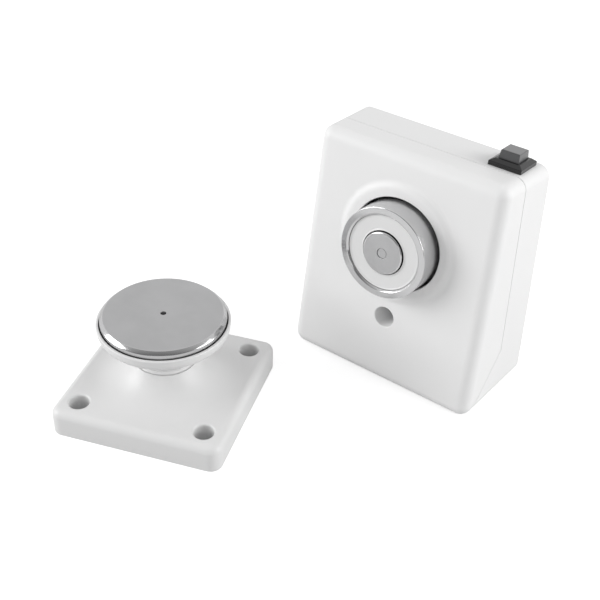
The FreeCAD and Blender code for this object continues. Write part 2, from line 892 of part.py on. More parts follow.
def pipe(points, radius, bend):
    """Round wire along straight runs joined by tangent arcs."""
    corners = [V(*p) for p in points]
    edges = []
    start = corners[0]
    for i in range(1, len(corners) - 1):
        before = (corners[i - 1] - corners[i]).normalize()
        after = (corners[i + 1] - corners[i]).normalize()
        turn = math.pi - before.getAngle(after)
        reach = bend * math.tan(turn / 2.0)
        a = corners[i] + before * reach
        b = corners[i] + after * reach
        toward = (before + after).normalize()
        centre = corners[i] + toward * (bend / math.cos(turn / 2.0))
        middle = centre - toward * bend
        edges.append(Part.LineSegment(start, a).toShape())
        edges.append(Part.Arc(a, middle, b).toShape())
        start = b
    edges.append(Part.LineSegment(start, corners[-1]).toShape())
    direction = (corners[1] - corners[0]).normalize()
    ring = Part.Wire([Part.makeCircle(radius, corners[0], direction)])
    return solid(Part.Wire(edges).makePipeShell([ring], True, False))


def suppression_diode():
    """Axial diode across the coil's pads, its ends bent down to the board."""
    middle = (board_left + board_right) / 2.0
    y = board_front - diode_radius - 0.1
    half = diode_span / 2.0
    wire = pipe([
        (middle - half, board_front, diode_height),
        (middle - half, y, diode_height),
        (middle + half, y, diode_height),
        (middle + half, board_front, diode_height),
    ], diode_wire_radius, 0.8)
    start = middle - diode_length / 2.0
    body = rod(diode_radius, (start, y, diode_height), (start + diode_length, y, diode_height))
    return solid(joined([body, wire]))


def cable_grommet():
    """Rubber grommet in the tray's cable entry."""
    groove = entry_radius - fit_gap
    flange = entry_radius + grommet_flange
    ring = turned([
        (grommet_bore_radius, 0.0),
        (groove, 0.0),
        (groove, -wall - fit_gap),
        (flange, -wall - fit_gap),
        (flange, -wall - grommet_flange_thick),
        (grommet_bore_radius, -wall - grommet_flange_thick),
    ], "y")
    return placed(ring, entry_x, 0, entry_z)


def coil_leads():
    """Two leads from the coil, out of the pot's back and down to the board."""
    leads = []
    out = bobbin_ends()[1] - 0.9 * bobbin_wall
    for sign, pad in zip((-1, 1), sorted(coil_pads)):
        x = sign * lead_spacing / 2.0
        turn = coil_lead_turn + (2.2 if sign > 0 else 0.0)
        y0, z0 = lean_point(-lead_hole_offset, out)
        depth = (coil_lead_plane + face_reach + lead_hole_offset * lean_sin) / lean_cos
        y1, z1 = lean_point(-lead_hole_offset, depth)
        plane = coil_lead_plane
        points = [(x, y0, z0), (x, y1, z1), (x, plane, turn), (pad, plane, turn)]
        points.append((pad, plane, coil_pad_height))
        points.append((pad, board_front, coil_pad_height))
        leads.append(pipe(points, lead_radius, lead_bend))
    return group(leads)


def switch_leads():
    """Two leads from the switch's tabs down to the board."""
    leads = []
    low = front_up - switch_body_depth - tab_length
    routes = zip((-1, 1), switch_pads, switch_pad_heights, switch_lead_drops)
    for sign, pad, height, drop in routes:
        x0, x1 = tab_span(sign)
        x = switch_x + (x0 + x1) / 2.0
        y, z = lean_point(low - 0.15, switch_y)
        cross = axis_height - drop
        points = [(x, y, z), (x, y, cross), (pad, y, cross), (pad, y, height)]
        points.append((pad, board_front, height))
        leads.append(pipe(points, lead_radius, lead_bend))
    return group(leads)


def keeper_at(shape):
    """Turn a keeper piece from its own frame to its place on the floor."""
    moved = shape.copy()
    moved.rotate(V(0, 0, 0), V(0, 0, 1), keeper_yaw)
    return placed(moved, keeper_x, keeper_y, 0)


def base_block(side, corner, height, edge):
    """Square block with rounded corners and a rolled top edge."""
    block = square(side, 0, height)
    uprights = [e for e in block.Edges if abs(e.CenterOfMass.z - height / 2.0) < 0.01]
    block = block.makeFillet(corner, uprights)
    rim = [e for e in block.Edges if abs(e.CenterOfMass.z - height) < 0.01]
    return block.makeFillet(edge, rim)


def base_swell():
    """Concave rise from the plate to the neck."""
    low = base_height
    lift = neck_height - neck_round - low
    run = swell_radius - neck_radius
    radius = (run * run + lift * lift) / (2.0 * lift)
    centre = V(swell_radius, 0, low + radius)
    end = V(neck_radius, 0, low + lift)
    half = math.asin(run / radius) / 2.0 if lift < radius else math.pi / 4.0
    middle = V(centre.x - radius * math.sin(half), 0, centre.z - radius * math.cos(half))
    top = V(neck_radius - neck_round, 0, neck_height)
    edges = [
        Part.Arc(V(swell_radius, 0, low), middle, end).toShape(),
        Part.LineSegment(end, top).toShape(),
        Part.LineSegment(top, V(0, 0, neck_height)).toShape(),
        Part.LineSegment(V(0, 0, neck_height), V(0, 0, 1)).toShape(),
        Part.LineSegment(V(0, 0, 1), V(swell_radius, 0, 1)).toShape(),
        Part.LineSegment(V(swell_radius, 0, 1), V(swell_radius, 0, low)).toShape(),
    ]
    return solid(Part.Face(Part.Wire(edges)).revolve(V(0, 0, 0), V(0, 0, 1), 360))


def neck_seam():
    """Groove round the top of the neck, under its rolled edge."""
    high = neck_height - neck_seam_drop
    low = high - neck_seam_wide
    inner = neck_radius - neck_seam_deep
    outer = neck_radius + 2 * neck_seam_deep
    return turned([(inner, low), (outer, low), (outer, high), (inner, high)], "z")


def hole_places():
    """(x, y) of the keeper's four floor screws."""
    return [(s * hole_offset, t * hole_offset) for s in (-1, 1) for t in (-1, 1)]


def retainer_screw_places():
    """(x, y) of the three screws under the socket."""
    angles = [math.radians(90 + 120 * i) for i in range(3)]
    return [(retainer_screw_circle * math.cos(a), retainer_screw_circle * math.sin(a)) for a in angles]


def keeper_base():
    """Moulded floor plate that rises to the swivel's socket, hollow underneath."""
    body = joined([base_block(base_side, base_corner, base_height, base_round), base_swell()])
    roof = base_height - base_wall
    inner = base_block(base_side - 2 * base_wall, base_corner - base_wall, roof, base_round - base_wall)
    socket_outer = socket_radius + socket_wall
    cone = Part.makeCone(swell_radius - 7.0, socket_outer + 0.5, 6.4, V(0, 0, roof - 0.1))
    hollow = inner.fuse(cone)
    hollow = hollow.cut(Part.makeCylinder(socket_outer, FAR))
    for x, y in hole_places():
        hollow = hollow.cut(Part.makeCylinder(hole_sink_radius + hole_boss_wall, FAR, V(x, y, 0)))
    for x, y in retainer_screw_places():
        hollow = hollow.cut(Part.makeCylinder(retainer_screw_size[1] + 0.6, FAR, V(x, y, 0)))
    body = body.cut(hollow)
    for x, y in hole_places():
        body = body.cut(Part.makeCylinder(hole_radius, FAR, V(x, y, -1)))
        body = body.cut(Part.makeCylinder(hole_sink_radius, FAR, V(x, y, hole_sink_floor)))
    body = body.cut(neck_seam())
    body = body.cut(Part.makeSphere(socket_radius, V(0, 0, ball_height)))
    body = body.cut(Part.makeCylinder(socket_radius, ball_height + 1, V(0, 0, -1)))
    seat = retainer_lift + retainer_thick
    body = body.cut(Part.makeCylinder(retainer_radius + retainer_gap, seat + 1, V(0, 0, -1)))
    for x, y in retainer_screw_places():
        body = body.cut(Part.makeCylinder(retainer_screw_size[0] + fit_gap, 7.0, V(x, y, 0)))
    rims = [e for e in body.Edges if is_sink_rim(e)]
    return keeper_at(solid(body.makeFillet(hole_rim_round, rims)))


def is_sink_rim(edge):
    """Whether an edge is the rim of a screw sink in the plate's top."""
    if edge.Curve.TypeId != "Part::GeomCircle":
        return False
    high = abs(edge.CenterOfMass.z - base_height) < 0.01
    return high and abs(edge.Curve.Radius - hole_sink_radius) < 0.01


def ball_zone(radius, top_angle, bottom_angle):
    """Part of a ball between two angles down from its top."""
    high = radius * math.cos(math.radians(top_angle))
    low = radius * math.cos(math.radians(bottom_angle))
    ball = Part.makeSphere(radius, V(0, 0, ball_height))
    slab = square(4 * radius, ball_height + low, ball_height + high)
    return ball.common(slab)


def socket_liner():
    """Thin nylon ring between the ball and its socket, which tilts with it."""
    outer = ball_zone(socket_radius - liner_gap, liner_top_angle, liner_bottom_angle)
    inner = Part.makeSphere(ball_radius + liner_gap, V(0, 0, ball_height))
    return keeper_at(solid(outer.cut(inner)))


def socket_retainer():
    """Plug and flange that close the socket from below."""
    plate = Part.makeCylinder(retainer_radius, retainer_thick, V(0, 0, retainer_lift))
    plug = rod(socket_radius - retainer_gap, (0, 0, retainer_lift), (0, 0, retainer_top))
    body = joined([plate, plug])
    body = body.cut(Part.makeSphere(socket_radius, V(0, 0, ball_height)))
    body = body.cut(Part.makeCylinder(retainer_bore, FAR, V(0, 0, -1)))
    for x, y in retainer_screw_places():
        body = body.cut(Part.makeCylinder(retainer_screw_size[0] + 0.2, FAR, V(x, y, -1)))
    return keeper_at(solid(body))


def retainer_screws():
    """Three screws that hold the retainer."""
    piece = screw(retainer_screw_size, retainer_thick + retainer_screw_grip)
    piece.rotate(V(0, 0, 0), V(1, 0, 0), 90)
    return group([keeper_at(placed(piece, x, y, retainer_lift)) for x, y in retainer_screw_places()])


def swivel_ball():
    """Ball with a stem, bored for the screw that holds the armature."""
    ball = Part.makeSphere(ball_radius, V(0, 0, ball_height))
    stem = Part.makeCylinder(stem_radius, cup_hub_base - ball_height, V(0, 0, ball_height))
    body = joined([ball, stem])
    body = body.cut(Part.makeCylinder(armature_screw_size[0] + fit_gap, FAR, V(0, 0, 0)))
    sink = Part.makeCylinder(armature_screw_size[1] + 0.3, screw_head_top(), V(0, 0, 0))
    return keeper_at(solid(body.cut(sink)))


def screw_head_top():
    """Height of the seat under the armature screw's head."""
    return ball_height - ball_radius + 1.6 + armature_screw_size[2]


def armature_screw():
    """Socket screw up through the ball and cup into the armature."""
    end = armature_height - armature_eye_depth - 0.5
    piece = screw(armature_screw_size, end - screw_head_top(), slotted=False)
    key = rod(1.9, (0, -armature_screw_size[2] - 1, 0), (0, -1.4, 0))
    piece = piece.cut(key)
    piece.rotate(V(0, 0, 0), V(1, 0, 0), 90)
    return keeper_at(placed(piece, 0, 0, screw_head_top()))


def armature_cup():
    """Moulded dish round the armature, with a hub on the ball's stem."""
    rim = armature_height - cup_rim_drop
    outline = [
        (0, cup_hub_base),
        (cup_hub_radius - 0.8, cup_hub_base),
        (cup_hub_radius, cup_hub_base + 0.8),
        (cup_hub_radius, cup_hub_top),
        (cup_foot_radius, cup_foot_height),
    ]
    points = [V(r, 0, z) for r, z in outline]
    shoulder = V(cup_radius - 0.3, 0, cup_foot_height + cup_bowl_rise)
    bulge = V(cup_radius - 1.7, 0, cup_foot_height + 0.36 * cup_bowl_rise)
    top_out = V(cup_radius, 0, rim - 0.5)
    top_mid = V(cup_radius - 0.2, 0, rim - 0.12)
    top_in = V(cup_radius - 0.6, 0, rim)
    edges = [Part.LineSegment(a, b).toShape() for a, b in zip(points, points[1:])]
    edges.append(Part.Arc(points[-1], bulge, shoulder).toShape())
    edges.append(Part.LineSegment(shoulder, top_out).toShape())
    edges.append(Part.Arc(top_out, top_mid, top_in).toShape())
    edges.append(Part.LineSegment(top_in, V(0, 0, rim)).toShape())
    edges.append(Part.LineSegment(V(0, 0, rim), points[0]).toShape())
    dish = solid(Part.Face(Part.Wire(edges)).revolve(V(0, 0, 0), V(0, 0, 1), 360))
    dish = dish.cut(Part.makeCylinder(cup_inner_radius, 20, V(0, 0, cup_floor)))
    pocket = Part.makeCylinder(cup_ledge, 20, V(0, 0, cup_foot_height + cup_wall))
    pocket = pocket.cut(Part.makeCylinder(cup_post_radius, FAR))
    dish = dish.cut(pocket)
    dish = dish.cut(Part.makeCylinder(armature_screw_size[0] + fit_gap, FAR))
    return keeper_at(solid(dish))


def armature_disc():
    """Steel plate with a polished bevel, tapped from below, with a small eye in its face."""
    top = armature_height
    low = cup_floor
    bevel_low = top - armature_bevel
    eye = armature_height - armature_eye_depth
    tap = armature_screw_size[0] + fit_gap
    return keeper_at(turned([
        (tap, low),
        (armature_radius - 0.6, low),
        (armature_radius, low + 0.6),
        (armature_radius, bevel_low - armature_step),
        (armature_radius - armature_step, bevel_low),
        (armature_face_radius, top),
        (armature_eye_radius, top),
        (armature_eye_radius, eye),
        (tap, eye),
    ], "z"))


def cushion_ring():
    """Rubber ring between the armature's edge and the cup."""
    high = armature_height - ring_drop
    low = high - ring_height
    inner = armature_radius + fit_gap
    outer = cup_inner_radius - fit_gap
    return keeper_at(turned([(inner, low), (outer, low), (outer, high), (inner, high)], "z"))


PIECES = {
    "front_cover": front_cover,
    "rear_housing": rear_housing,
    "magnet_pot": magnet_pot,
    "magnet_core": magnet_core,
    "coil_bobbin": coil_bobbin,
    "coil_winding": coil_winding,
    "potting_resin": potting_resin,
    "magnet_bracket": magnet_bracket,
    "pole_screw": pole_screw_piece,
    "spring_washer": spring_washer,
    "bracket_screws": bracket_screws,
    "cover_screw": cover_screw,
    "switch_frame": switch_frame,
    "switch_contacts": switch_contacts,
    "switch_cap": switch_cap,
    "contact_bridge": contact_bridge,
    "switch_spring": switch_spring,
    "switch_clip": switch_clip,
    "circuit_board": circuit_board,
    "board_screws": board_screws,
    "terminal_block": terminal_block,
    "terminal_cages": terminal_cages,
    "terminal_screws": terminal_screws,
    "suppression_diode": suppression_diode,
    "cable_grommet": cable_grommet,
    "coil_leads": coil_leads,
    "switch_leads": switch_leads,
    "keeper_base": keeper_base,
    "socket_liner": socket_liner,
    "socket_retainer": socket_retainer,
    "retainer_screws": retainer_screws,
    "swivel_ball": swivel_ball,
    "armature_screw": armature_screw,
    "armature_cup": armature_cup,
    "armature_disc": armature_disc,
    "cushion_ring": cushion_ring,
}

os.makedirs("parts", exist_ok=True)
for name, build in PIECES.items():
    shape = placed(build(), 0, 0, -wall_centre)
    shape.exportStep(os.path.join("parts", name + ".step"))
    state = "valid" if shape.isValid() else "NOT VALID"
    print(name, len(shape.Solids), "solids", round(shape.Volume, 1), "mm3", state)
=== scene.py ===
"""Looks of an electromagnetic door holder: a wall unit with a pot magnet and a floor keeper."""

import logging
import math
from collections.abc import Callable
from dataclasses import dataclass
from enum import Enum

import bmesh
import bpy
from mathutils import Euler, Matrix, Vector

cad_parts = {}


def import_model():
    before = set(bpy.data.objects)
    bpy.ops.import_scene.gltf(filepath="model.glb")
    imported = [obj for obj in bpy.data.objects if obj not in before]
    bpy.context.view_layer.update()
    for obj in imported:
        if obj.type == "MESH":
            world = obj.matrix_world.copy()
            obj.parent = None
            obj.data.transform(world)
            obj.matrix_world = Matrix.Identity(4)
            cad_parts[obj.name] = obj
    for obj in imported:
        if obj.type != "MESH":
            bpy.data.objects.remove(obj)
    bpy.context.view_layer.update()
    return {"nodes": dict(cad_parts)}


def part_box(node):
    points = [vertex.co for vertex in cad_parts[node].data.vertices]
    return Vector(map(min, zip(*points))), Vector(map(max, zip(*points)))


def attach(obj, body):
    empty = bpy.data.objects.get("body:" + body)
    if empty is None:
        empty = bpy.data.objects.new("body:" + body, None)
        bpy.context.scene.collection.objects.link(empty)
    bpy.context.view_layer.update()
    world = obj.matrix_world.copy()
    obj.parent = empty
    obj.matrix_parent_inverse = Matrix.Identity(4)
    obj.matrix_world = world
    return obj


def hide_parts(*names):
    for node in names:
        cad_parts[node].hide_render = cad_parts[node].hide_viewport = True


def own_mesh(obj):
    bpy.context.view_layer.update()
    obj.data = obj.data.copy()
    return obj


LOG = logging.getLogger("door_holder")

# One millimetre in metres.
MM = 0.001
# Height of the floor in the row frame, in millimetres.
FLOOR = -52.732

# How near a corner lies to the height, or to the radius, that a test names, in millimetres.
TOUCH = 0.01
ROUND_TOUCH = 0.03
# How far past a radius the tests of a bore reach, in millimetres.
MARGIN = 0.1
# Most that the corners of a level face differ in height, in millimetres.
LEVEL = 0.001
# Area above which a face of a softened part is shaded flat, in square metres.
WIDE_FACE = 1.5 * MM * MM

# Ends of the middle part of a noise's values.
NOISE_LOW, NOISE_HIGH = 0.3, 0.7
# Length of one band of a wave texture of scale 1, in metres.
WAVE_BAND = 0.314
# Height of the finest relief, in metres.
FINE_RELIEF = 0.00001

BLACK_RGBA = (0.0, 0.0, 0.0, 1.0)
WHITE_RGBA = (1.0, 1.0, 1.0, 1.0)

Colour = tuple[float, float, float]
Triple = tuple[float, float, float]
Nodes = dict[str, bpy.types.Object]
Socket = bpy.types.NodeSocket
Test = Callable[[list[Vector]], bool]


@dataclass(frozen=True)
class Seat:
    """Frame that a sub-assembly is built in: its origin in millimetres and its turn in degrees."""

    origin: Triple
    turn: Triple

    def angles(self) -> Triple:
        """The turn in radians."""
        return tuple(math.radians(part) for part in self.turn)

    def along(self, x: float, y: float, z: float) -> Vector:
        """A step in this frame as a step in the row frame, in metres."""
        return Euler(self.angles()).to_matrix() @ (Vector((x, y, z)) * MM)

    def at(self, x: float, y: float, z: float) -> Vector:
        """A point in this frame as a point in the row frame, in metres."""
        return Vector(self.origin) * MM + self.along(x, y, z)


# Where the pot's axis meets the cover, with the axis along +Z.
FRONT = Seat((0.0, -38.6, 69.3 + FLOOR), (84.0, 0.0, 0.0))
# Middle of the keeper's underside.
KEEPER = Seat((-65.1, -111.8, FLOOR), (0.0, 0.0, 19.7))
# Front of the circuit board, level with the floor, with +Z out of the board.
BOARD_FACE = Seat((0.0, -7.6, FLOOR), (90.0, 0.0, 0.0))


class Slot(Enum):
    """Material slots of the record, one named with each new piece."""

    POT = "pot_steel"
    CORE = "core_steel"
    ARMATURE = "armature_steel"
    RESIN = "resin"
    BLACK = "black_plastic"
    CAP = "cap_plastic"
    ZINC = "zinc_steel"
    SPRING = "spring_steel"


class Shader:
    """Node tree of one material."""

    def __init__(self, name: str) -> None:
        """Starts a material with its one surface node.

        Args:
            name: the material's name.
        """
        self.material = bpy.data.materials.new(name)
        self.material.use_nodes = True
        self.tree = self.material.node_tree
        self.surface = self.tree.nodes["Principled BSDF"]

    def add(self, kind: str, **settings: object) -> bpy.types.Node:
        """Adds a node and sets its properties and the defaults of its sockets.

        Args:
            kind: the node's type, without its ShaderNode prefix.
            settings: properties by name, or sockets by name with spaces as underscores.

        Returns:
            The new node.
        """
        node = self.tree.nodes.new("ShaderNode" + kind)
        for key, value in settings.items():
            if hasattr(node, key):
                setattr(node, key, value)
            else:
                node.inputs[key.replace("_", " ")].default_value = value
        return node

    def link(self, source: Socket, node: bpy.types.Node, socket: str | int) -> None:
        """Joins an output socket to a node's input."""
        self.tree.links.new(source, node.inputs[socket])

    def put(self, **values: float | tuple[float, ...]) -> None:
        """Sets constants on the surface's own sockets, named with underscores for spaces."""
        for key, value in values.items():
            self.surface.inputs[key.replace("_", " ")].default_value = value

    def coords(self) -> Socket:
        """Object coordinates, which are the row frame in metres."""
        return self.add("TexCoord").outputs["Object"]

    def seated(self, seat: Seat) -> Socket:
        """Coordinates in a sub-assembly's own frame, in metres.

        Args:
            seat: that frame.

        Returns:
            The coordinates.
        """
        place = tuple(part * MM for part in seat.origin)
        turn = seat.angles()
        node = self.add("Mapping", vector_type="TEXTURE", Location=place, Rotation=turn)
        self.link(self.coords(), node, "Vector")
        return node.outputs["Vector"]

    def noise(self, vector: Socket, scale: float, detail: float = 2.0) -> Socket:
        """Noise over a vector.

        Args:
            vector: where the noise is read.
            scale: cells for each metre.
            detail: octaves.

        Returns:
            The noise's value.
        """
        node = self.add("TexNoise", Scale=scale, Detail=detail)
        self.link(vector, node, "Vector")
        return node.outputs["Fac"]

    def ranged(self, value: Socket, low: float, high: float) -> Socket:
        """Spreads the middle of a noise's values over a range.

        Args:
            value: the noise.
            low: what its NOISE_LOW becomes.
            high: what its NOISE_HIGH becomes.

        Returns:
            The new value.
        """
        node = self.add(
            "MapRange", From_Min=NOISE_LOW, From_Max=NOISE_HIGH, To_Min=low, To_Max=high,
        )
        self.link(value, node, "Value")
        return node.outputs["Result"]

    def tint(self, value: Socket, dark: Colour, light: Colour) -> None:
        """Colours the surface between two colours.

        Args:
            value: the share of the lighter one.
            dark: the darker colour.
            light: the lighter colour.
        """
        node = self.add("Mix", data_type="RGBA")
        node.inputs["A"].default_value = (*dark, 1.0)
        node.inputs["B"].default_value = (*light, 1.0)
        self.link(value, node, "Factor")
        self.link(node.outputs["Result"], self.surface, "Base Color")

    def rough(self, value: Socket, middle: float, spread: float) -> None:
        """Lets the surface's roughness follow a noise about a middle value."""
        self.link(self.ranged(value, middle - spread, middle + spread), self.surface, "Roughness")

    def bump(self, height: Socket, strength: float, depth: float = FINE_RELIEF) -> None:
        """Raises the surface by a value.

        Args:
            height: the value.
            strength: how much of the relief shows.
            depth: height of the relief in metres.
        """
        node = self.add("Bump", Strength=strength, Distance=depth)
        self.link(height, node, "Height")
        self.link(node.outputs["Normal"], self.surface, "Normal")


def scaled(colour: Colour, by: float) -> Colour:
    """A colour made lighter or darker by a factor."""
    return tuple(min(1.0, part * by) for part in colour)


@dataclass(frozen=True)
class Finish:
    """What every finish has. Scales are in cells for each metre, lengths in metres."""

    name: str
    colour: Colour
    roughness: float

    def material(self) -> bpy.types.Material:
        """The finish as a material, made once."""
        found = bpy.data.materials.get(self.name)
        return found or self.build()

    def shades(self, dark: float, light: float) -> tuple[Colour, Colour]:
        """The finish's colour made darker and lighter by two factors."""
        return scaled(self.colour, dark), scaled(self.colour, light)

    def build(self) -> bpy.types.Material:
        """Builds the material's nodes."""
        raise NotImplementedError


@dataclass(frozen=True)
class MouldedPlastic(Finish):
    """Moulded plastic with a fine grain, faint flow clouds and a thin skin gloss."""

    grain: float = 0.12
    coat: float = 0.0
    cloud: float = 0.02
    cloud_scale: float = 38.0
    grain_scale: float = 2600.0
    grain_depth: float = 0.00002
    spread: float = 0.035

    def build(self) -> bpy.types.Material:
        """Builds the material's nodes.

        Returns:
            The material.
        """
        shader = Shader(self.name)
        place = shader.coords()
        cloud = shader.noise(place, self.cloud_scale, detail=3.0)
        grain = shader.noise(place, self.grain_scale, detail=3.0)
        shader.tint(cloud, *self.shades(1.0 - self.cloud, 1.0 + self.cloud))
        shader.rough(cloud, self.roughness, self.spread)
        shader.bump(grain, self.grain, self.grain_depth)
        shader.put(IOR=1.49, Coat_Weight=self.coat, Coat_Roughness=0.22)
        return shader.material


@dataclass(frozen=True)
class GroundSteel(Finish):
    """Steel with a fine even grain left by grinding."""

    grain: float = 0.2
    speck_scale: float = 3400.0
    mottle_scale: float = 75.0
    mottle_share: float = 0.6
    cloud_scale: float = 120.0
    dark: float = 0.82
    light: float = 1.16
    spread: float = 0.05

    def build(self) -> bpy.types.Material:
        """Builds the material's nodes.

        Returns:
            The material.
        """
        shader = Shader(self.name)
        place = shader.coords()
        speck = shader.noise(place, self.speck_scale, detail=4.0)
        mottle = shader.noise(place, self.mottle_scale, detail=4.0)
        cloud = shader.noise(place, self.cloud_scale, detail=3.0)
        fine = shader.add("Math", operation="MULTIPLY")
        fine.inputs[1].default_value = 1.0 - self.mottle_share
        shader.link(speck, fine, 0)
        mixed = shader.add("Math", operation="MULTIPLY_ADD")
        mixed.inputs[1].default_value = self.mottle_share
        shader.link(mottle, mixed, 0)
        shader.link(fine.outputs["Value"], mixed, 2)
        shader.tint(mixed.outputs["Value"], *self.shades(self.dark, self.light))
        shader.rough(cloud, self.roughness, self.spread)
        shader.bump(speck, self.grain)
        shader.put(Metallic=1.0)
        return shader.material


@dataclass(frozen=True)
class TurnedSteel(Finish):
    """Steel with the fine rings that a lathe leaves about its axis."""

    seat: Seat = FRONT
    pitch: float = 0.00018
    relief: float = 0.15
    cloud_scale: float = 90.0
    dark: float = 0.93
    light: float = 1.06
    spread: float = 0.04

    def build(self) -> bpy.types.Material:
        """Builds the material's nodes.

        Returns:
            The material.
        """
        shader = Shader(self.name)
        own = shader.seated(self.seat)
        parts = shader.add("SeparateXYZ")
        shader.link(own, parts, "Vector")
        across = shader.add("CombineXYZ")
        shader.link(parts.outputs["X"], across, "X")
        shader.link(parts.outputs["Y"], across, "Y")
        radius = shader.add("VectorMath", operation="LENGTH")
        shader.link(across.outputs["Vector"], radius, 0)
        ring = shader.add("CombineXYZ")
        shader.link(radius.outputs["Value"], ring, "X")
        shader.link(parts.outputs["Z"], ring, "Z")
        lines = shader.noise(ring.outputs["Vector"], 1.0 / self.pitch, detail=3.0)
        cloud = shader.noise(own, self.cloud_scale)
        shader.tint(lines, *self.shades(self.dark, self.light))
        shader.rough(cloud, self.roughness, self.spread)
        shader.bump(lines, self.relief)
        shader.put(Metallic=1.0)
        return shader.material


@dataclass(frozen=True)
class PlatedSteel(Finish):
    """Bright plated or drawn metal with a faint mottle."""

    grain: float = 0.1
    mottle_scale: float = 700.0
    grain_scale: float = 5200.0
    dark: float = 0.9
    light: float = 1.05
    spread: float = 0.06

    def build(self) -> bpy.types.Material:
        """Builds the material's nodes.

        Returns:
            The material.
        """
        shader = Shader(self.name)
        place = shader.coords()
        mottle = shader.noise(place, self.mottle_scale, detail=3.0)
        shader.tint(mottle, *self.shades(self.dark, self.light))
        shader.rough(mottle, self.roughness, self.spread)
        shader.bump(shader.noise(place, self.grain_scale), self.grain)
        shader.put(Metallic=1.0)
        return shader.material


@dataclass(frozen=True)
class WoundWire(Finish):
    """Enamelled wire wound in close turns about a leaning axis."""

    seat: Seat = FRONT
    turn: float = 0.00045
    relief: float = 0.6
    depth: float = 0.0001
    dark: float = 0.55
    light: float = 1.1

    def build(self) -> bpy.types.Material:
        """Builds the material's nodes.

        Returns:
            The material.
        """
        shader = Shader(self.name)
        scale = WAVE_BAND / self.turn
        waves = shader.add("TexWave", bands_direction="Z", Scale=scale, Distortion=0.4)
        shader.link(shader.seated(self.seat), waves, "Vector")
        shader.tint(waves.outputs["Fac"], *self.shades(self.dark, self.light))
        shader.bump(waves.outputs["Fac"], self.relief, self.depth)
        shader.put(Metallic=1.0, Roughness=self.roughness, Coat_Weight=0.6, Coat_Roughness=0.12)
        return shader.material


@dataclass(frozen=True)
class BoardLaminate(Finish):
    """Green laminate with lighter tracks under its lacquer."""

    track: Colour = (0.10, 0.40, 0.17)
    track_scale: float = 160.0
    relief: float = 0.4
    depth: float = 0.00003

    def build(self) -> bpy.types.Material:
        """Builds the material's nodes.

        Returns:
            The material.
        """
        shader = Shader(self.name)
        flat = shader.add("Mapping", Rotation=(math.pi / 2.0, 0.0, 0.0))
        shader.link(shader.coords(), flat, "Vector")
        tracks = shader.add(
            "TexBrick", Scale=self.track_scale, Mortar_Size=0.06, Brick_Width=0.9, Row_Height=0.55,
            Color1=BLACK_RGBA, Color2=BLACK_RGBA, Mortar=WHITE_RGBA,
        )
        shader.link(flat.outputs["Vector"], tracks, "Vector")
        shader.tint(tracks.outputs["Color"], self.colour, self.track)
        shader.bump(tracks.outputs["Color"], self.relief, self.depth)
        shader.put(Roughness=self.roughness, Coat_Weight=0.4, Coat_Roughness=0.15)
        return shader.material


WHITE_SATIN = MouldedPlastic("white_satin", (0.80, 0.80, 0.80), 0.50)
WHITE_GLOSS = MouldedPlastic("white_gloss", (0.71, 0.71, 0.71), 0.42, grain=0.08)
BLACK_MOULDED = MouldedPlastic(
    "black_moulded", (0.008, 0.008, 0.0085), 0.22, grain=0.15, coat=0.1, cloud=0.15,
)
CAP_MOULDED = MouldedPlastic(
    "cap_moulded", (0.046, 0.046, 0.048), 0.34, grain=0.2, coat=0.9, cloud=0.08,
)
POTTING = MouldedPlastic("potting_resin", (0.71, 0.71, 0.71), 0.34, grain=0.05, cloud=0.03)
NYLON = MouldedPlastic("natural_nylon", (0.80, 0.78, 0.71), 0.42)
TERMINAL_GREY = MouldedPlastic("terminal_grey", (0.36, 0.38, 0.40), 0.45)
RUBBER = MouldedPlastic("black_rubber", (0.018, 0.018, 0.018), 0.72, grain=0.4, cloud=0.2)
RED_SHEATH = MouldedPlastic("red_sheath", (0.52, 0.03, 0.025), 0.4)
BLUE_SHEATH = MouldedPlastic("blue_sheath", (0.03, 0.08, 0.42), 0.4)
DIODE_BLACK = MouldedPlastic("diode_black", (0.02, 0.02, 0.022), 0.3)
DISC_FACE = GroundSteel("armature_ground", (0.43, 0.43, 0.435), 0.36)
CORE_FACE = GroundSteel("core_ground", (0.52, 0.52, 0.525), 0.46)
ZINC = PlatedSteel("zinc_plate", (0.66, 0.67, 0.70), 0.30)
SPRING = PlatedSteel("spring_steel", (0.50, 0.51, 0.53), 0.32)
BRASS = PlatedSteel("plain_brass", (0.74, 0.55, 0.24), 0.30)
BOARD = BoardLaminate("board_laminate", (0.035, 0.22, 0.08), 0.35)
POT_SIDE = TurnedSteel("pot_turned", (0.60, 0.60, 0.605), 0.30)
POT_RIM = TurnedSteel("pot_polished", (0.66, 0.66, 0.665), 0.12, pitch=0.0004, relief=0.05)
# Near-black steel for the pot's bore wall and the pole's side wall: painted shade where the gaps
# beside the resin fall dark.
SHADE_PAINTED_STEEL = TurnedSteel("painted_shade_steel", (0.05, 0.05, 0.051), 0.32)
CORE_RIM = TurnedSteel("core_polished", (0.70, 0.70, 0.705), 0.13, pitch=0.0004, relief=0.05)
DISC_SIDE = TurnedSteel(
    "armature_polished", (0.54, 0.54, 0.545), 0.14, seat=KEEPER, pitch=0.0004, relief=0.05,
)
WINDING = WoundWire("wound_copper", (0.62, 0.24, 0.09), 0.30)
SOLDER = PlatedSteel("solder", (0.62, 0.63, 0.65), 0.24)

